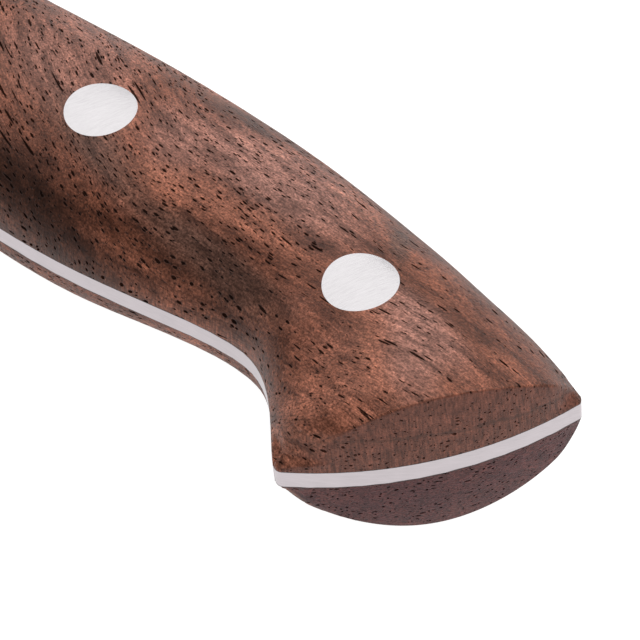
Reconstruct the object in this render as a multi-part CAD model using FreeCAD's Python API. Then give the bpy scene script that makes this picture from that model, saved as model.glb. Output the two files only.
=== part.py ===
"""Forged boning knife: a one-piece blade, bolster and full tang between two wooden scales.

Units are millimetres. While it is built, S runs along the handle from the back of the bolster
(S = 0) towards the butt, and the blade lies at negative S. Y runs across the knife, from the
cutting edge (negative) to the spine (positive), and Z through its thickness, with Z = 0 on the
mid-plane of the tang. The finished parts are moved so that the origin is under the middle of
the knife as it lies on its side.
"""
import FreeCAD, Part
import math
import os
from FreeCAD import Vector

# Tang and bond line
TANG_THICKNESS = 2.1
BOND_THICKNESS = 0.08

# Rivets: each one is a sleeve with a head and a post with a head, pressed together
RIVET_HEAD_RADIUS = 3.75
RIVET_HEAD_SEAT = 5.4
SLEEVE_RADIUS = 2.5
SLEEVE_END = 4.4
SLEEVE_BORE_END = -4.4
POST_RADIUS = 1.6
POST_END = -3.6
SCALE_BORE_RADIUS = 2.55
TANG_HOLE_RADIUS = 2.7
REAR_RIVET_S = 86.85
RIVET_SPACING = 36.05
RIVET_Y = 0.1

# Handle sections, from the blade side of the bolster to just past the butt:
# belly S, belly Y, spine S, spine Y, half thickness, leanness at the belly and at the spine
# (0 is an ellipse, more is leaner, less is fuller)
HANDLE_SECTIONS = [
    (-16.0, -15.6, -16.0, 8.75, 7.5, -0.08, -0.08),
    (-8.0, -12.9, -8.0, 9.2, 7.5, -0.08, -0.08),
    (0.0, -11.2, 0.0, 9.7, 7.6, -0.08, -0.07),
    (16.0, -11.9, 16.0, 10.7, 8.5, -0.08, -0.03),
    (33.0, -13.3, 33.0, 12.0, 9.1, -0.13, -0.02),
    (46.0, -13.45, 47.0, 13.1, 9.2, -0.15, -0.02),
    (57.0, -12.65, 60.0, 13.45, 9.1, -0.08, -0.02),
    (65.5, -11.2, 70.5, 13.15, 8.95, 0.14, -0.02),
    (71.5, -10.0, 78.0, 12.45, 8.85, 0.20, -0.02),
    (76.4, -9.3, 85.0, 11.6, 8.8, 0.11, -0.02),
    (80.0, -9.35, 90.0, 10.9, 8.8, -0.08, -0.02),
    (82.6, -10.2, 94.0, 10.25, 8.85, -0.15, 0.0),
    (85.2, -11.85, 98.0, 9.65, 8.9, 0.02, 0.02),
    (88.3, -14.6, 102.5, 8.85, 9.05, 0.22, 0.10),
    (92.0, -17.95, 108.55, 7.3, 9.25, 0.37, 0.24),
    (95.8, -21.2, 113.8, 5.6, 9.35, 0.39, 0.27),
]
SECTION_POINTS = 16

# Butt: a barrel-shaped surface, curved in plan and slightly crowned through the thickness
BEAK = (92.0, -17.95)
SPINE_CORNER = (108.55, 7.3)
BUTT_BULGE = 2.95
BUTT_CROWN_RADIUS = 70.0
BEAK_CORNER_RADIUS = 0.9
SPINE_CORNER_RADIUS = 1.0
BUTT_EDGE_RADIUS = 0.3

# Blade: plan outline, planar sides that taper to the edge and to the tip, and the ground edge
BLADE_BACK = [(-12.0, 9.0), (-60.0, 8.4), (-105.0, 6.8), (-140.0, 3.9), (-162.0, 0.0)]
BLADE_EDGE = [
    (-162.0, 0.0), (-156.0, -2.7), (-140.0, -4.9), (-100.0, -6.2),
    (-55.0, -6.9), (-24.0, -7.8), (-12.0, -8.5),
]
BLADE_HALF_THICKNESS = 1.4
TAPER_TO_EDGE = 0.064
TAPER_TO_TIP = 0.0028
EDGE_ANGLE = 15.0
EDGE_HALF_WIDTH = 0.03
EDGE_START_S = -16.0

# Bolster: a ring at the handle, hollowed on each side down to the blade
RING_LENGTH = 4.5
HOLLOW_END_S = -14.0
GUARD_FRONT_S = -9.5
GUARD_TOP_Y = -8.5
GUARD_RADIUS = 2.5
GUARD_TIP_Y = -13.5
GUARD_TIP_RADIUS = 1.6

REACH = 200.0


def section_wire(section):
    """Closed outline of one handle section: flat across the tang and domed on each side of it."""
    belly_s, belly_y, spine_s, spine_y, half_thickness, lean_belly, lean_spine = section
    base = TANG_THICKNESS / 2 + BOND_THICKNESS
    points = []
    for k in range(SECTION_POINTS + 1):
        angle = math.pi * k / SECTION_POINTS
        share = (1 + math.cos(angle)) / 2
        lean = lean_belly + share * (lean_spine - lean_belly)
        rise = math.sin(angle) * (1 - lean * math.cos(angle) ** 2)
        s = belly_s + share * (spine_s - belly_s)
        y = belly_y + share * (spine_y - belly_y)
        points.append(Vector(s, y, base + (half_thickness - base) * rise))
    steps = [k / SECTION_POINTS for k in range(SECTION_POINTS + 1)]
    dome = Part.BSplineCurve()
    dome.interpolate(Points=points, Parameters=steps)
    under = Part.BSplineCurve()
    under.interpolate(Points=[Vector(p.x, p.y, -p.z) for p in reversed(points)], Parameters=steps)
    spine, belly = points[0], points[-1]
    return Part.Wire([
        dome.toShape(),
        Part.makeLine(belly, Vector(belly.x, belly.y, -belly.z)),
        under.toShape(),
        Part.makeLine(Vector(spine.x, spine.y, -spine.z), spine),
    ])


def slab(low, high):
    """Everything between two heights."""
    return Part.makeBox(2 * REACH, 2 * REACH, high - low, Vector(-REACH, -REACH, low))


def ahead_of(s):
    """Everything on the blade side of a plane across the handle."""
    return Part.makeBox(REACH, 2 * REACH, 2 * REACH, Vector(s - REACH, -REACH, -REACH))


def butt_cutter():
    """What lies beyond the barrel-shaped butt surface."""
    beak = Vector(*BEAK, 0)
    corner = Vector(*SPINE_CORNER, 0)
    chord = corner - beak
    half = chord.Length / 2
    radius = (half ** 2 + BUTT_BULGE ** 2) / (2 * BUTT_BULGE)
    along = Vector(chord).normalize()
    out = Vector(along.y, -along.x, 0)
    middle = (beak + corner) * 0.5
    centre = middle + out * (BUTT_BULGE - radius)
    height = 14.0
    rim = radius - (BUTT_CROWN_RADIUS - math.sqrt(BUTT_CROWN_RADIUS ** 2 - height ** 2))
    crown = Part.Arc(Vector(rim, 0, -height), Vector(radius, 0, 0), Vector(rim, 0, height)).toShape()
    top = Part.makeLine(Vector(rim, 0, height), Vector(0, 0, height))
    axis = Part.makeLine(Vector(0, 0, height), Vector(0, 0, -height))
    bottom = Part.makeLine(Vector(0, 0, -height), Vector(rim, 0, -height))
    barrel = Part.Face(Part.Wire([crown, top, axis, bottom])).revolve(Vector(), Vector(0, 0, 1), 360)
    barrel.translate(centre)
    block = Part.makeBox(40, 80, 2 * height - 1, Vector(-12, -40, 0.5 - height))
    block.rotate(Vector(), Vector(0, 0, 1), math.degrees(math.atan2(out.y, out.x)))
    block.translate(middle)
    return block.cut(barrel)


def corner_cutter(corner, first, second, radius):
    """What rounding takes off an upright corner whose two sides run along first and second."""
    first = Vector(*first, 0).normalize()
    second = Vector(*second, 0).normalize()
    half_angle = first.getAngle(second) / 2
    reach = radius / math.tan(half_angle)
    inward = (first + second).normalize()
    corner = Vector(*corner, 0)
    centre = corner + inward * (radius / math.sin(half_angle))
    over = 1.0
    points = [
        centre,
        corner + first * reach - (centre - corner - first * reach) * (over / radius),
        corner - inward * 3 * over,
        corner + second * reach - (centre - corner - second * reach) * (over / radius),
        centre,
    ]
    face = Part.Face(Part.makePolygon(points))
    prism = face.extrude(Vector(0, 0, 30))
    prism.translate(Vector(0, 0, -15))
    post = Part.makeCylinder(radius, 40, centre - Vector(0, 0, 20))
    return prism.cut(post)


def handle_body():
    """The outside of the whole handle and bolster as one solid, before it is split into its pieces."""
    body = Part.makeLoft([section_wire(s) for s in HANDLE_SECTIONS], True, False)
    body = body.cut(butt_cutter()).Solids[0]
    butt = [face for face in body.Faces if isinstance(face.Surface, Part.SurfaceOfRevolution)][0]
    body = body.makeFillet(BUTT_EDGE_RADIUS, butt.Edges)
    body = body.cut(corner_cutter(BEAK, (-4.2, 3.9), (2.9, 2.1), BEAK_CORNER_RADIUS))
    return body.cut(corner_cutter(SPINE_CORNER, (-5.0, 1.7), (-0.4, -3.4), SPINE_CORNER_RADIUS))


def rivet_places():
    """Rivet names with the S of each, from the bolster to the butt."""
    names = ["front", "middle", "rear"]
    return [(name, REAR_RIVET_S - RIVET_SPACING * (2 - k)) for k, name in enumerate(names)]


def rod(s, radius, low, high):
    """A cylinder through the thickness at one rivet."""
    return Part.makeCylinder(radius, high - low, Vector(s, RIVET_Y, low))


def blade_side_cutter():
    """What is ground off one side of the blank: the planar blade side and the hollow of the bolster."""
    back_y = BLADE_BACK[0][1]
    tip_s = BLADE_BACK[-1][0] - 10
    rise = HANDLE_SECTIONS[1][4] + 0.3 - BLADE_HALF_THICKNESS
    run = -RING_LENGTH - HOLLOW_END_S
    radius = (run ** 2 + rise ** 2) / (2 * rise)
    centre = Vector(HOLLOW_END_S, 0, BLADE_HALF_THICKNESS + radius)
    sweep = math.asin(run / radius)
    start = Vector(HOLLOW_END_S, 0, BLADE_HALF_THICKNESS)
    middle = centre + Vector(math.sin(sweep / 2), 0, -math.cos(sweep / 2)) * radius
    end = centre + Vector(math.sin(sweep), 0, -math.cos(sweep)) * radius
    tip = Vector(tip_s, 0, BLADE_HALF_THICKNESS - TAPER_TO_TIP * (HOLLOW_END_S - tip_s))
    wire = Part.Wire([
        Part.makeLine(tip, start),
        Part.Arc(start, middle, end).toShape(),
        Part.makeLine(end, Vector(end.x, 0, 30)),
        Part.makeLine(Vector(end.x, 0, 30), Vector(tip.x, 0, 30)),
        Part.makeLine(Vector(tip.x, 0, 30), tip),
    ])
    lean = Vector(0, 1, TAPER_TO_EDGE)
    cutter = Part.Face(wire).extrude(lean * 80)
    cutter.translate(Vector(0, back_y, 0) - lean * 40)
    return cutter


def plan_curve(points):
    curve = Part.BSplineCurve()
    curve.interpolate([Vector(s, y, 0) for s, y in points])
    return curve


def guard_cutter():
    """What is taken off in front of the finger guard, below the heel of the blade."""
    box = Part.makeBox(30, 20, 40, Vector(GUARD_FRONT_S - 30, GUARD_TOP_Y - 20, -20))
    corner = Vector(GUARD_FRONT_S, GUARD_TOP_Y, 0)
    upright = [e for e in box.Edges if e.distToShape(Part.Vertex(corner))[0] < 0.001]
    box = box.makeFillet(GUARD_RADIUS, upright)
    tip = (GUARD_FRONT_S, GUARD_TIP_Y)
    return box.fuse(corner_cutter(tip, (0.0, 1.0), (9.5, 2.3), GUARD_TIP_RADIUS))


def edge_bevel_cutter():
    """What grinding takes off one side: all that is above a surface rising from the cutting edge."""
    curve = plan_curve(BLADE_EDGE)
    rise = math.tan(math.radians(EDGE_ANGLE))
    outside, inside = [], []
    first, last = curve.FirstParameter, curve.LastParameter
    count = 24
    for k in range(count + 1):
        t = first + (last - first) * k / count
        point = curve.value(t)
        if point.x > EDGE_START_S:
            break
        along = curve.tangent(t)[0]
        inward = Vector(-along.y, along.x, 0)
        outside.append(point - inward * 0.6 + Vector(0, 0, EDGE_HALF_WIDTH - 0.6 * rise))
        inside.append(point + inward * 4.0 + Vector(0, 0, EDGE_HALF_WIDTH + 4.0 * rise))
    edges = []
    for points in (outside, inside):
        line = Part.BSplineCurve()
        line.interpolate(points)
        edges.append(line.toShape())
    return Part.makeRuledSurface(*edges).extrude(Vector(0, 0, 5))


def mirrored(shape):
    return shape.mirror(Vector(), Vector(0, 0, 1))


def forging(body):
    """Blade, bolster and full tang, which are one piece of steel."""
    back = plan_curve(BLADE_BACK).toShape()
    edge = plan_curve(BLADE_EDGE).toShape()
    heel = Vector(*BLADE_EDGE[-1], 0)
    top = Vector(*BLADE_BACK[0], 0)
    close = Part.makeLine(heel, top)
    outline = Part.Face(Part.Wire([back, edge, close]))
    blade = outline.extrude(Vector(0, 0, 6))
    blade.translate(Vector(0, 0, -3))
    bolster = body.common(ahead_of(0)).cut(guard_cutter())
    front = bolster.fuse(blade)
    for cutter in (blade_side_cutter(), edge_bevel_cutter()):
        front = front.cut(cutter)
        front = front.cut(mirrored(cutter))
    half = TANG_THICKNESS / 2
    tang = body.cut(ahead_of(0)).common(slab(-half, half))
    steel = front.fuse(tang)
    for name, s in rivet_places():
        steel = steel.cut(rod(s, TANG_HOLE_RADIUS, -10, 10))
    return steel


def scale(body):
    """The wooden scale on the +Z side, bored and counterbored for the rivets."""
    start = TANG_THICKNESS / 2 + BOND_THICKNESS
    wood = body.cut(ahead_of(0)).common(slab(start, 20))
    for name, s in rivet_places():
        wood = wood.cut(rod(s, SCALE_BORE_RADIUS, 0, 20))
        wood = wood.cut(rod(s, RIVET_HEAD_RADIUS, RIVET_HEAD_SEAT, 20))
    return wood


def bond(body):
    """The cured adhesive between the tang and the +Z scale."""
    half = TANG_THICKNESS / 2
    film = body.cut(ahead_of(0)).common(slab(half, half + BOND_THICKNESS))
    for name, s in rivet_places():
        film = film.cut(rod(s, TANG_HOLE_RADIUS, 0, 20))
    return film


def post(body, s):
    """The solid half of a rivet, with its head on the +Z side ground flush with the wood."""
    head = body.common(rod(s, RIVET_HEAD_RADIUS, RIVET_HEAD_SEAT, 20))
    return head.fuse(rod(s, POST_RADIUS, POST_END, RIVET_HEAD_SEAT)).removeSplitter()


def sleeve(body, s):
    """The hollow half of a rivet, with its head on the -Z side ground flush with the wood."""
    head = body.common(rod(s, RIVET_HEAD_RADIUS, -20, -RIVET_HEAD_SEAT))
    tube = head.fuse(rod(s, SLEEVE_RADIUS, -RIVET_HEAD_SEAT, SLEEVE_END)).removeSplitter()
    return tube.cut(rod(s, POST_RADIUS, SLEEVE_BORE_END, 20))


def build():
    """All pieces of the knife by node name."""
    body = handle_body()
    parts = {"blade_bolster_tang": forging(body)}
    left = scale(body)
    film = bond(body)
    parts["left_scale"] = left
    parts["right_scale"] = mirrored(left)
    parts["left_bond_line"] = film
    parts["right_bond_line"] = mirrored(film)
    for name, s in rivet_places():
        parts[name + "_rivet_post"] = post(body, s)
        parts[name + "_rivet_sleeve"] = sleeve(body, s)
    return parts


def centring(parts):
    """The move that puts the origin under the middle of the knife."""
    points = [p for shape in parts.values() for p in shape.tessellate(0.01)[0]]
    middle = [(min(c) + max(c)) / 2 for c in zip(*[(p.x, p.y) for p in points])]
    return Vector(-middle[0], -middle[1], -min(p.z for p in points))


def main():
    parts = {name: shape.Solids[0] for name, shape in build().items()}
    shift = centring(parts)
    os.makedirs("parts", exist_ok=True)
    for name, shape in parts.items():
        shape.translate(shift)
        shape.exportStep("parts/" + name + ".step")
        print(name, "valid", shape.isValid(), "mm3", round(shape.Volume, 1))
    print("moved by", shift)


main()
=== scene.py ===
"""Looks of the boning knife: oiled walnut scales, satin steel, and the dark joint lines between them.

Lengths are in metres unless a name ends in _MM. Material patterns are worked out in millimetres
from the centre of the rear rivet, along the knife's own axes: X to the butt, Y to the spine, Z up.
"""
import math

import bmesh
import bpy
from mathutils import Matrix, Vector
from mathutils.bvhtree import BVHTree

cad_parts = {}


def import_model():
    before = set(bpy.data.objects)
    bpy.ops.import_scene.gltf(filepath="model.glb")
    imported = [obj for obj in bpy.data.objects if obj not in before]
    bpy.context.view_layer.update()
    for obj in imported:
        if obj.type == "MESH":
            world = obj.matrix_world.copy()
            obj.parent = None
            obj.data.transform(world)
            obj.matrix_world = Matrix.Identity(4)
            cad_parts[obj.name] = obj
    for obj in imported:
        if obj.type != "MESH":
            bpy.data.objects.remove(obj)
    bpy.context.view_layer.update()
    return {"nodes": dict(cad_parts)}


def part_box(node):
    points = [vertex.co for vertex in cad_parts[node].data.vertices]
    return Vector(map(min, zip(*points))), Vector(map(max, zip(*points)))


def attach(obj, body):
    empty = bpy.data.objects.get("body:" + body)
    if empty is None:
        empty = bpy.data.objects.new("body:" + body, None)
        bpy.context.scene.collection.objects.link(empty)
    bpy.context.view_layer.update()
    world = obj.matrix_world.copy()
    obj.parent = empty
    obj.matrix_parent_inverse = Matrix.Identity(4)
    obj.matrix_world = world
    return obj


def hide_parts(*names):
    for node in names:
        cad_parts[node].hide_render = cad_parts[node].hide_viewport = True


# Camera: where it looks from, and what it looks at, counted from the rear rivet in the mid-plane
VIEW_AZIMUTH = math.radians(48.849)
VIEW_ELEVATION = math.radians(48.1)
VIEW_ROLL = math.radians(6.63)
VIEW_DISTANCE = 0.328125
VIEW_LENS = 188.55
AIM_FROM_RIVET = Vector((-0.005475, -0.000862, 0.0))

# Rounding of the butt edge near the beak of the handle
BEAK_FROM_RIVET = Vector((0.00565, -0.01765, 0.0))
BUTT_FACING = Vector((0.85, -0.52, 0.0)).normalized()
NEAR_ROUND_REACH = 0.0045
FAR_ROUND_REACH = 0.0010
ROUND_NEAR = 0.0025
ROUND_FAR = 0.0088
ROUND_SEAM = 0.0016
ROUND_STEP = 0.0004
ROUND_CUTS = 24

# The wood slopes in at the corners of the butt: where the corner points in plan, how far, over what height
SPINE_CORNER = Vector((0.957, 0.290))
BEAK_CORNER = Vector((0.190, -0.982))
CORNER_SPREAD = 0.0030
NEAR_SLOPES = [(SPINE_CORNER, 0.0008, 0.0012)]
FAR_SLOPES = [(SPINE_CORNER, 0.0003, 0.0010), (BEAK_CORNER, 0.0005, 0.0005)]

# Light
WORLD = 0.12
HORIZON = 0.60
BACK_POWER = 7.0
KEY_POWER = 6.0
FILL_POWER = 0.5
FLOOR_GLOW = 0.99
FLOOR_WHITE = 0.15

# Steel
STEEL_TINT = (0.535, 0.487, 0.505)
BLADE_TINT = (0.40, 0.39, 0.40)
RIVET_TINT = (0.455, 0.438, 0.446)

# Walnut
GRAIN_BEND_START_MM = 14.0
GRAIN_BEND = 0.0072
WOOD_ROUGHNESS = 0.38

# Tones of the near scale, and where they lie: centre, half length, half width, slope, tone, strength
# Pale pinkish tan: painted highlight, the sheen of the soft box on the crown around the rivets
PAINTED_SHEEN_TAN = (0.290, 0.150, 0.122)
RED_BROWN = (0.290, 0.112, 0.070)
# Dark brown, mostly painted shade: it darkens the spine side, which turns away from the light; one row uses it for a
# darker patch of figure
SHADE_AND_FIGURE_BROWN = (0.105, 0.040, 0.026)
GREY_BROWN = (0.092, 0.048, 0.036)
DARK_BROWN = (0.034, 0.014, 0.009)
BLACK_BROWN = (0.020, 0.008, 0.005)
LEFT_ZONES = [
    # Rows in the pale tan are painted highlight, not wood tone
    ((-17.0, 5.0), 12.0, 4.2, -3.0, PAINTED_SHEEN_TAN, 0.75),
    ((-44.0, 3.0), 9.0, 5.5, -15.0, PAINTED_SHEEN_TAN, 0.50),
    ((-27.0, 1.5), 5.0, 2.5, -35.0, PAINTED_SHEEN_TAN, 0.45),
    ((7.5, -0.5), 6.5, 2.6, -14.0, PAINTED_SHEEN_TAN, 0.70),
    ((-25.0, 10.5), 6.0, 1.5, 2.0, DARK_BROWN, 0.60),
    ((-33.0, -3.6), 8.0, 2.2, -12.0, GREY_BROWN, 0.85),
    ((-14.5, -6.4), 10.0, 2.0, -2.0, GREY_BROWN, 0.90),
    ((-17.0, -1.4), 11.0, 1.9, 7.0, RED_BROWN, 0.85),
    ((-6.5, 0.8), 3.4, 1.4, 8.0, SHADE_AND_FIGURE_BROWN, 0.60),
    ((-36.0, -11.2), 11.5, 2.6, -3.0, BLACK_BROWN, 0.88),
    ((-20.0, -9.8), 9.0, 1.0, 4.0, RED_BROWN, 0.30),
    ((9.0, -6.0), 7.0, 4.0, -30.0, RED_BROWN, 0.85),
    ((10.0, -3.6), 5.5, 2.2, -40.0, PAINTED_SHEEN_TAN, 0.60),
    ((-2.8, -8.2), 2.8, 1.0, -55.0, DARK_BROWN, 0.35),
    ((6.0, -13.5), 6.5, 4.5, -60.0, RED_BROWN, 0.65),
    # Painted shade along the spine side, in this row and the last one
    ((2.0, 10.8), 30.0, 2.6, -8.0, SHADE_AND_FIGURE_BROWN, 0.82),
    ((-1.5, 7.5), 3.0, 1.0, -42.0, GREY_BROWN, 0.90),
    ((19.5, 7.5), 3.5, 1.6, -20.0, DARK_BROWN, 0.70),
    ((14.0, 8.6), 9.0, 3.2, -22.0, SHADE_AND_FIGURE_BROWN, 0.75),
]


class Nodes:
    """Short calls for building one material's node tree."""

    def __init__(self, name):
        self.material = bpy.data.materials.new(name)
        self.material.use_nodes = True
        self.tree = self.material.node_tree
        self.tree.nodes.clear()

    def add(self, kind, inputs=None, **settings):
        node = self.tree.nodes.new(kind)
        for key, value in settings.items():
            setattr(node, key, value)
        for key, value in (inputs or {}).items():
            if isinstance(value, bpy.types.NodeSocket):
                self.tree.links.new(value, node.inputs[key])
            else:
                node.inputs[key].default_value = value
        return node

    def math(self, operation, a, b=0.0, clamp=False):
        inputs = {0: a, 1: b}
        return self.add("ShaderNodeMath", inputs, operation=operation, use_clamp=clamp).outputs[0]

    def vector(self, operation, a, b=(0.0, 0.0, 0.0)):
        node = self.add("ShaderNodeVectorMath", {0: a, 1: b}, operation=operation)
        return node.outputs["Value" if operation in ("DOT_PRODUCT", "LENGTH") else "Vector"]

    def scaled(self, vector, factor):
        return self.add("ShaderNodeVectorMath", {0: vector, "Scale": factor}, operation="SCALE").outputs[0]

    def step(self, value, low, high):
        """0 below low, 1 above high, smooth between; low may be the larger."""
        inputs = {"Value": value, "From Min": low, "From Max": high}
        return self.add("ShaderNodeMapRange", inputs, interpolation_type="SMOOTHSTEP").outputs["Result"]

    def noise(self, vector, detail=2.0, roughness=0.5, distortion=0.0):
        inputs = {"Vector": vector, "Scale": 1.0, "Detail": detail, "Roughness": roughness, "Distortion": distortion}
        return self.add("ShaderNodeTexNoise", inputs)

    def mix(self, factor, a, b, blend="MIX"):
        node = self.add("ShaderNodeMix", data_type="RGBA", blend_type=blend)
        for key, value in (("Factor_Float", factor), ("A_Color", a), ("B_Color", b)):
            socket = next(s for s in node.inputs if s.identifier == key)
            if isinstance(value, bpy.types.NodeSocket):
                self.tree.links.new(value, socket)
            else:
                socket.default_value = value if key == "Factor_Float" else (*value, 1.0)
        return next(s for s in node.outputs if s.identifier == "Result_Color")

    def ramp(self, factor, stops):
        node = self.add("ShaderNodeValToRGB", {"Fac": factor})
        elements = node.color_ramp.elements
        while len(elements) < len(stops):
            elements.new(0.5)
        for element, (position, colour) in zip(elements, stops):
            element.position = position
            element.color = (*colour, 1.0)
        return node.outputs["Color"]

    def finish(self, shader):
        self.add("ShaderNodeOutputMaterial", {"Surface": shader.outputs[0]})
        return self.material


def place_mm(nodes, centre):
    """Position on the knife in millimetres, from a point given in metres."""
    here = nodes.add("ShaderNodeTexCoord").outputs["Object"]
    return nodes.scaled(nodes.vector("SUBTRACT", here, tuple(centre)), 1000.0)


def pores(nodes, grain, cell, half_size, share, density):
    """Open pores of the wood: slim ellipsoids along the grain, one to a cell. density thins them out."""
    cells = nodes.vector("DIVIDE", grain, cell)
    voronoi = nodes.add("ShaderNodeTexVoronoi", {"Vector": cells, "Scale": 1.0, "Randomness": 1.0})
    offset = nodes.vector("MULTIPLY", nodes.vector("SUBTRACT", cells, voronoi.outputs["Position"]), cell)
    split = nodes.add("ShaderNodeSeparateColor", {"Color": voronoi.outputs["Color"]})
    size = nodes.math("ADD", nodes.math("MULTIPLY", split.outputs["Red"], 0.8), 0.5)
    reach = nodes.math("DIVIDE", nodes.vector("LENGTH", nodes.vector("DIVIDE", offset, half_size)), size)
    inside = nodes.step(reach, 1.15, 0.75)
    chosen = nodes.math("LESS_THAN", split.outputs["Green"], nodes.math("MULTIPLY", density, share))
    return nodes.math("MULTIPLY", inside, chosen)


def patch(nodes, here, centre, half_length, half_width, degrees, softness=0.6):
    """A soft-edged oval patch on the face of the knife: 1 in the middle, 0 outside."""
    angle = math.radians(degrees)
    offset = nodes.vector("SUBTRACT", here, (*centre, 0.0))
    along = nodes.vector("DOT_PRODUCT", offset, (math.cos(angle) / half_length, math.sin(angle) / half_length, 0.0))
    across = nodes.vector("DOT_PRODUCT", offset, (-math.sin(angle) / half_width, math.cos(angle) / half_width, 0.0))
    reach = nodes.vector("LENGTH", nodes.add("ShaderNodeCombineXYZ", {0: along, 1: across}).outputs[0])
    return nodes.step(reach, 1.0 + softness, 1.0 - softness)


def walnut(name, centre, shift, end_tint_and_shade, facet_share, pore_shape, ray_pitch, ior, sheen, zones):
    """Oiled walnut with open pores. shift moves the figure, so that the two scales differ; sheen tints the gloss."""
    n = Nodes(name)
    here = place_mm(n, centre)
    axes = n.add("ShaderNodeSeparateXYZ", {"Vector": here}).outputs

    # the fibres bend towards the belly as they run back, more so towards the front
    front = n.math("MINIMUM", n.math("ADD", axes[0], GRAIN_BEND_START_MM), 0.0)
    bend = n.math("MULTIPLY", n.math("MULTIPLY", front, front), -GRAIN_BEND)
    moved = n.vector("ADD", n.vector("ADD", here, n.add("ShaderNodeCombineXYZ", {1: bend}).outputs[0]), shift)
    sway = n.noise(n.vector("MULTIPLY", moved, (0.045, 0.09, 0.09)), detail=2.0).outputs["Color"]
    sway = n.vector("MULTIPLY", n.vector("SUBTRACT", sway, (0.5, 0.5, 0.5)), (0.0, 5.0, 5.0))
    grain = n.vector("ADD", moved, sway)

    # figure: broad streaks, narrower ones, cloudy cross figure, single fibres, fine rays through the board
    broad = n.noise(n.vector("MULTIPLY", grain, (0.022, 0.20, 0.20)), detail=3.0, roughness=0.55).outputs["Fac"]
    narrow = n.noise(n.vector("MULTIPLY", grain, (0.11, 0.9, 0.9)), detail=3.0, roughness=0.6).outputs["Fac"]
    cloud = n.noise(n.vector("MULTIPLY", grain, (0.22, 0.60, 0.60)), detail=3.0, roughness=0.6).outputs["Fac"]
    fibre = n.noise(n.vector("MULTIPLY", grain, (1.4, 5.5, 5.5)), detail=3.0, roughness=0.7).outputs["Fac"]
    rays = n.noise(n.vector("MULTIPLY", here, ray_pitch), detail=2.0, roughness=0.6).outputs["Fac"]
    colour = n.ramp(broad, [
        (0.30, (0.095, 0.034, 0.020)),
        (0.45, (0.155, 0.056, 0.033)),
        (0.57, (0.200, 0.074, 0.046)),
        (0.72, (0.262, 0.106, 0.070)),
    ])
    # Lay the tone patches: wood figure, and also painted highlight and painted shade where a zone says so
    for patch_centre, half_length, half_width, degrees, tone, strength in zones:
        wander = n.vector("MULTIPLY", n.vector("SUBTRACT", grain, moved), (0.0, 0.7, 0.0))
        where = n.vector("ADD", here, wander)
        amount = n.math("MULTIPLY", patch(n, where, patch_centre, half_length, half_width, degrees), strength)
        colour = n.mix(amount, colour, tone)
    streak = n.ramp(narrow, [(0.30, (0.38, 0.34, 0.32)), (0.50, (0.96, 0.95, 0.94)), (0.70, (1.50, 1.46, 1.42))])
    colour = n.mix(0.85, colour, streak, "MULTIPLY")
    mottle = n.ramp(cloud, [(0.30, (0.62, 0.59, 0.57)), (0.50, (1.0, 1.0, 1.0)), (0.70, (1.38, 1.35, 1.33))])
    colour = n.mix(0.85, colour, mottle, "MULTIPLY")
    thread = n.ramp(fibre, [(0.32, (0.35, 0.31, 0.29)), (0.50, (1.0, 1.0, 1.0)), (0.68, (1.70, 1.66, 1.62))])
    colour = n.mix(0.85, colour, thread, "MULTIPLY")
    grit = n.ramp(rays, [(0.32, (0.36, 0.32, 0.30)), (0.50, (1.0, 1.0, 1.0)), (0.68, (1.70, 1.66, 1.64))])
    colour = n.mix(0.75, colour, grit, "MULTIPLY")

    crowd = n.noise(n.vector("MULTIPLY", grain, (0.07, 0.16, 0.16)), detail=1.0).outputs["Fac"]
    middle = n.math("ADD", n.math("MULTIPLY", n.step(axes[0], -2.0, -14.0), 0.8), 0.2)
    short = pores(n, grain, (1.30, 0.46, 0.46), pore_shape, 1.0, n.math("MULTIPLY", n.step(crowd, 0.20, 0.50), middle))
    fine = pores(n, grain, (0.62, 0.30, 0.30), (0.14, 0.05, 0.05), 0.8, n.step(crowd, 0.30, 0.60))
    long = pores(n, grain, (2.8, 0.60, 0.60), (0.85, 0.10, 0.10), 0.8, n.step(axes[0], -18.0, 0.0))
    longer = pores(n, grain, (4.2, 0.80, 0.80), (1.7, 0.13, 0.13), 0.9, n.step(axes[0], -28.0, -38.0))
    hole = n.math("MAXIMUM", n.math("MAXIMUM", short, n.math("MULTIPLY", fine, 0.7)), n.math("MAXIMUM", long, longer))
    colour = n.mix(n.math("MULTIPLY", hole, 0.93), colour, (0.008, 0.004, 0.003))

    # the sanded end of the scale shows another cut of the wood, with growth rings across it; on the far scale the
    # end's tint is also painted shade, darker and bluish for the dim, cool light from below
    normal = n.add("ShaderNodeNewGeometry").outputs["Normal"]
    facing = n.step(n.vector("DOT_PRODUCT", normal, (0.85, -0.52, 0.0)), 0.66, 0.84)
    level = n.math("ADD", axes[2], n.math("MULTIPLY", axes[1], 0.12))
    ring = n.math("ADD", level, n.math("MULTIPLY", n.math("SUBTRACT", cloud, 0.5), 1.2))
    dark_ring = n.step(n.math("ABSOLUTE", n.math("SUBTRACT", ring, 3.75)), 0.35, 0.05)
    end_wood_and_shade = n.mix(0.7, end_tint_and_shade, grit, "MULTIPLY")
    end_wood_and_shade = n.mix(0.6, end_wood_and_shade, mottle, "MULTIPLY")
    end_wood_and_shade = n.mix(0.5, end_wood_and_shade, thread, "MULTIPLY")
    end_wood_and_shade = n.mix(n.math("MULTIPLY", dark_ring, 0.6), end_wood_and_shade, (0.03, 0.014, 0.010))
    end_wood_and_shade = n.mix(n.math("MULTIPLY", hole, 0.7), end_wood_and_shade, (0.012, 0.007, 0.006))
    colour = n.mix(n.math("MULTIPLY", facing, facet_share), colour, end_wood_and_shade)

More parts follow.
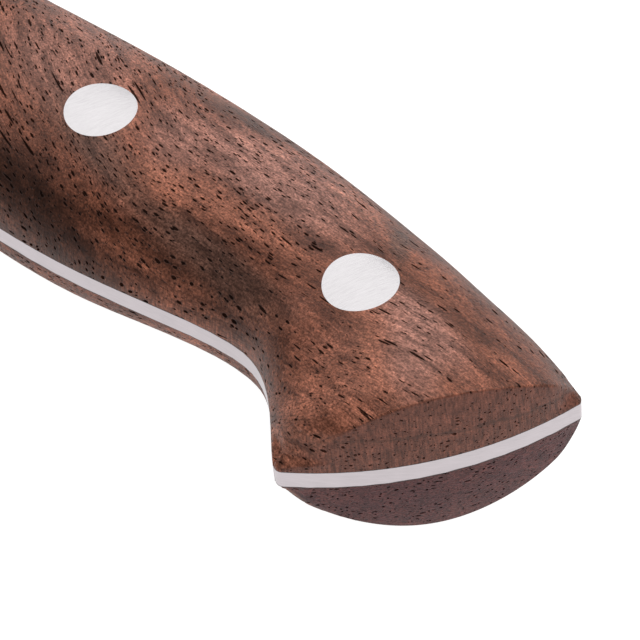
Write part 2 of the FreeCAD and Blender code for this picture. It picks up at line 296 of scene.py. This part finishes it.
    relief = n.math("ADD", n.math("MULTIPLY", fibre, 0.22), n.math("MULTIPLY", rays, 0.18))
    height = n.math("SUBTRACT", relief, n.math("MULTIPLY", hole, 0.9))
    bump = n.add("ShaderNodeBump", {"Height": height, "Distance": 0.00022, "Strength": 1.0})
    gloss = n.math("ADD", n.math("MULTIPLY", narrow, 0.16), WOOD_ROUGHNESS - 0.08)
    roughness = n.math("ADD", gloss, n.math("MULTIPLY", hole, 0.3))
    edge_on = n.step(n.add("ShaderNodeLayerWeight", {"Blend": 0.5}).outputs["Facing"], 0.45, 0.90)
    gleam = n.math("MULTIPLY", n.math("SUBTRACT", 1.0, hole), 0.5)
    gleam = n.math("MULTIPLY", gleam, n.math("SUBTRACT", 1.0, n.math("MULTIPLY", edge_on, 0.85)))
    shader = n.add("ShaderNodeBsdfPrincipled", {
        "Base Color": colour, "Roughness": roughness, "Normal": bump.outputs["Normal"], "IOR": ior,
        "Specular IOR Level": gleam, "Specular Tint": (*sheen, 1.0),
    })
    return n.finish(shader)


def satin_steel(name, centre, tint, across, roughness, far_tint=None):
    """Steel ground to a satin finish. across is square to the fine grinding lines; far_tint is the blade's tone."""
    n = Nodes(name)
    here = place_mm(n, centre)
    across = Vector(across).normalized()
    squeeze = n.scaled(here, 0.55)
    stretch = n.scaled(tuple(across), n.math("MULTIPLY", n.vector("DOT_PRODUCT", here, tuple(across)), 13.0))
    lines = n.vector("ADD", squeeze, stretch)
    brush = n.noise(lines, detail=3.0, roughness=0.7).outputs["Fac"]
    cloud = n.noise(n.scaled(here, 0.35), detail=3.0).outputs["Fac"]
    colour = tint
    if far_tint:
        along = n.add("ShaderNodeSeparateXYZ", {"Vector": here}).outputs[0]
        colour = n.mix(n.step(along, -62.0, -95.0), tint, far_tint)
    wear = n.math("ADD", n.math("MULTIPLY", brush, 0.7), n.math("MULTIPLY", cloud, 0.3))
    shade = n.ramp(wear, [(0.32, (0.86,) * 3), (0.5, (1.0,) * 3), (0.68, (1.10,) * 3)])
    colour = n.mix(0.85, colour, shade, "MULTIPLY")
    rough = n.math("ADD", n.math("MULTIPLY", n.math("ADD", brush, cloud), 0.12), roughness - 0.12)
    bump = n.add("ShaderNodeBump", {"Height": brush, "Distance": 0.000012, "Strength": 0.5})
    shader = n.add("ShaderNodeBsdfPrincipled", {
        "Base Color": colour, "Metallic": 1.0, "Roughness": rough, "Normal": bump.outputs["Normal"],
    })
    return n.finish(shader)


def adhesive(name, centre):
    """Cured adhesive film round the tang, coloured near black: painted shade for the shadow in the thin gap between
    steel and wood, seen as a dark line.
    """
    n = Nodes(name)
    here = place_mm(n, centre)
    specks = n.noise(n.scaled(here, 3.0), detail=2.0).outputs["Fac"]
    # near black with specks: painted shade of the gap between steel and wood
    colour = n.mix(specks, (0.012, 0.008, 0.007), (0.05, 0.03, 0.024))
    shader = n.add("ShaderNodeBsdfPrincipled", {"Base Color": colour, "Roughness": 0.45})
    return n.finish(shader)


def paper_floor():
    n = Nodes("floor_paper")
    here = n.add("ShaderNodeTexCoord").outputs["Object"]
    tooth = n.noise(n.scaled(here, 900.0), detail=2.0).outputs["Fac"]
    colour = n.mix(tooth, (FLOOR_WHITE,) * 3, (FLOOR_WHITE + 0.03,) * 3)
    shader = n.add("ShaderNodeBsdfPrincipled", {
        "Base Color": colour, "Roughness": 0.9,
        "Emission Color": (1.0, 1.0, 1.0, 1.0), "Emission Strength": FLOOR_GLOW,
    })
    return n.finish(shader)


def smooth_rise(value, low, high):
    share = min(1.0, max(0.0, (value - low) / (high - low)))
    return share * share * (3 - 2 * share)


def patch_of_faces(mesh, faces):
    """A search tree over some of a mesh's faces."""
    return BVHTree.FromPolygons([v.co.copy() for v in mesh.verts], [[v.index for v in f.verts] for f in faces])


def slope_in(mesh, seam_height, direction, depth, rise):
    """Slopes the wood in from the seam at the corner that lies furthest in a direction in plan."""
    corner = max((v.co.xy for v in mesh.verts), key=direction.dot)
    for vert in mesh.verts:
        share = 1 - smooth_rise((vert.co.xy - corner).length, 0.0, CORNER_SPREAD)
        share *= smooth_rise(abs(vert.co.z - seam_height), 0.0, rise)
        vert.co.xy = vert.co.xy - direction * (depth * share)


def rounded_scale(node, seam_height, beak, full_reach, slopes):
    """A wooden scale whose butt edge is sanded round by hand near the beak, sharper away from it."""
    mesh = bmesh.new()
    mesh.from_mesh(node.data)
    bmesh.ops.remove_doubles(mesh, verts=mesh.verts, dist=1e-6)
    for axis in (Vector((1, 0, 0)), Vector((0, 1, 0)), Vector((0, 0, 1))):
        for step in range(-ROUND_CUTS, ROUND_CUTS + 1):
            near = [f for f in mesh.faces if (f.calc_center_median() - beak).length < 2.2 * ROUND_FAR]
            parts = set(near) | {e for f in near for e in f.edges} | {v for f in near for v in f.verts}
            plane = beak + axis * (step * ROUND_STEP + 1.7e-5)
            bmesh.ops.bisect_plane(mesh, geom=list(parts), plane_co=plane, plane_no=axis, dist=1e-6)
    mesh.verts.index_update()
    mesh.normal_update()
    around = [f for f in mesh.faces if (f.calc_center_median() - beak).length < 3 * ROUND_FAR]
    outer = [f for f in around if abs(f.calc_center_median().z - seam_height) > 1e-5]
    end = patch_of_faces(mesh, [f for f in outer if f.normal.dot(BUTT_FACING) > 0.80])
    crown = patch_of_faces(mesh, [f for f in outer if f.normal.dot(BUTT_FACING) <= 0.80])
    moves = {}
    for vert in mesh.verts:
        away = (vert.co - beak).length
        reach = full_reach * (1 - smooth_rise(away, ROUND_NEAR, ROUND_FAR))
        reach *= smooth_rise(abs(vert.co.z - seam_height), 0.0, ROUND_SEAM)
        if reach < 1e-5:
            continue
        end_hit = end.find_nearest(vert.co)
        crown_hit = crown.find_nearest(vert.co)
        inside = reach - abs(end_hit[3] - crown_hit[3])
        if inside <= 0:
            continue
        share = 0.5 + 0.5 * (end_hit[3] - crown_hit[3]) / reach
        slope = crown_hit[1] * share + end_hit[1] * (1 - share)
        moves[vert] = slope * (-(inside ** 2) / (4 * reach * slope.length_squared))
    for vert, move in moves.items():
        vert.co += move
    for direction, depth, rise in slopes:
        slope_in(mesh, seam_height, direction, depth, rise)
    data = bpy.data.meshes.new(node.name + "_rounded")
    mesh.to_mesh(data)
    mesh.free()
    for layer in [a for a in data.attributes if a.name == "custom_normal"]:
        data.attributes.remove(layer)
    data.shade_smooth()
    data.set_sharp_from_angle(angle=math.radians(32))
    made = bpy.data.objects.new(node.name + "_wood", data)
    bpy.context.scene.collection.objects.link(made)
    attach(made, "root")
    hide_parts(node.name)
    return made


def dress(node, material):
    """Gives a CAD node its material."""
    node.data.materials.clear()
    node.data.materials.append(material)


def floor(material):
    bpy.ops.mesh.primitive_plane_add(size=6.0, location=(0, 0, 0))
    plane = bpy.context.object
    plane.name = "floor"
    plane.data.materials.append(material)


def area_light(name, direction, distance, width, height, power, target, colour=(1.0, 1.0, 1.0)):
    """A soft box in a direction from the target, facing it."""
    data = bpy.data.lights.new(name, "AREA")
    data.shape = "RECTANGLE"
    data.size = width
    data.size_y = height
    data.energy = power
    data.color = colour
    lamp = bpy.data.objects.new(name, data)
    bpy.context.scene.collection.objects.link(lamp)
    direction = Vector(direction).normalized()
    lamp.location = target + direction * distance
    lamp.rotation_euler = direction.to_track_quat("Z", "Y").to_euler()


def world(strength):
    """Pale near the horizon, dimmer above."""
    made = bpy.data.worlds.new("studio")
    made.use_nodes = True
    tree = made.node_tree
    background = tree.nodes["Background"]
    background.inputs["Color"].default_value = (1.0, 1.0, 1.0, 1.0)
    height = tree.nodes.new("ShaderNodeSeparateXYZ")
    fall = tree.nodes.new("ShaderNodeMapRange")
    fall.interpolation_type = "SMOOTHSTEP"
    for key, value in (("From Min", 0.05), ("From Max", 0.30), ("To Min", HORIZON), ("To Max", strength)):
        fall.inputs[key].default_value = value
    tree.links.new(tree.nodes.new("ShaderNodeTexCoord").outputs["Generated"], height.inputs[0])
    tree.links.new(height.outputs["Z"], fall.inputs["Value"])
    tree.links.new(fall.outputs["Result"], background.inputs["Strength"])
    bpy.context.scene.world = made


def camera(rivet):
    right = Vector((math.cos(VIEW_AZIMUTH), math.sin(VIEW_AZIMUTH), 0.0))
    level = math.cos(VIEW_ELEVATION)
    back = Vector((
        math.sin(VIEW_AZIMUTH) * level, -math.cos(VIEW_AZIMUTH) * level, math.sin(VIEW_ELEVATION),
    ))
    turn = Matrix.Rotation(-VIEW_ROLL, 3, back)
    up = turn @ back.cross(right)
    right = turn @ right
    data = bpy.data.cameras.new("camera")
    data.lens = VIEW_LENS
    data.sensor_width = 36.0
    data.clip_start = 0.01
    data.clip_end = 20.0
    made = bpy.data.objects.new("camera", data)
    bpy.context.scene.collection.objects.link(made)
    axes = Matrix((right, up, back)).transposed().to_4x4()
    made.matrix_world = Matrix.Translation(rivet + AIM_FROM_RIVET + back * VIEW_DISTANCE) @ axes
    bpy.context.scene.camera = made


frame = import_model()
nodes = frame["nodes"]

low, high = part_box("rear_rivet_post")
mid_plane = (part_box("left_scale")[1].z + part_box("right_scale")[0].z) / 2
rivet = Vector(((low.x + high.x) / 2, (low.y + high.y) / 2, mid_plane))

steel = satin_steel("blade_satin", rivet, STEEL_TINT, (0, 0.3, 1), 0.34, BLADE_TINT)
rivet_steel = satin_steel("rivet_satin", rivet, RIVET_TINT, (1, -0.35, 0), 0.22)
near_wood = walnut(
    "walnut_left", rivet, shift=(0.0, 0.0, 0.0), end_tint_and_shade=(0.118, 0.042, 0.028), facet_share=0.85,
    pore_shape=(0.33, 0.100, 0.150), ray_pitch=(4.6, 4.6, 0.6), ior=1.42,
    sheen=(0.82, 0.56, 0.50), zones=LEFT_ZONES,
)
# The far end's tint is darker and bluer than the near one: painted shade and cool light from below, over the end
# grain's own colour
far_wood = walnut(
    "walnut_right", rivet, shift=(37.0, 21.0, 11.0), end_tint_and_shade=(0.060, 0.018, 0.022), facet_share=0.80,
    pore_shape=(0.34, 0.26, 0.08), ray_pitch=(4.6, 1.0, 4.6), ior=1.36,
    sheen=(0.80, 0.58, 0.62), zones=[],
)
glue = adhesive("adhesive_gap_shade", rivet)

for name, node in nodes.items():
    if "rivet" in name:
        dress(node, rivet_steel)
    elif "bond" in name:
        dress(node, glue)
dress(nodes["blade_bolster_tang"], steel)
for name, wood, reach, slopes in (
    ("left_scale", near_wood, NEAR_ROUND_REACH, NEAR_SLOPES),
    ("right_scale", far_wood, FAR_ROUND_REACH, FAR_SLOPES),
):
    scale_low, scale_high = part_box(name)
    seam_height = scale_low.z if name == "left_scale" else scale_high.z
    beak = rivet + BEAK_FROM_RIVET
    beak.z = seam_height
    dress(rounded_scale(nodes[name], seam_height, beak, reach, slopes), wood)

floor(paper_floor())
world(WORLD)
area_light("back_softbox", (-0.50, 0.50, 0.80), 1.0, 1.7, 0.75, BACK_POWER, rivet)
area_light("right_key", (0.40, 0.40, 0.82), 0.9, 0.5, 0.5, KEY_POWER, rivet)
area_light("front_fill", (0.7, -0.6, 0.45), 0.9, 0.5, 0.4, FILL_POWER, rivet)
camera(rivet)
bpy.context.scene.view_settings.view_transform = "Standard"
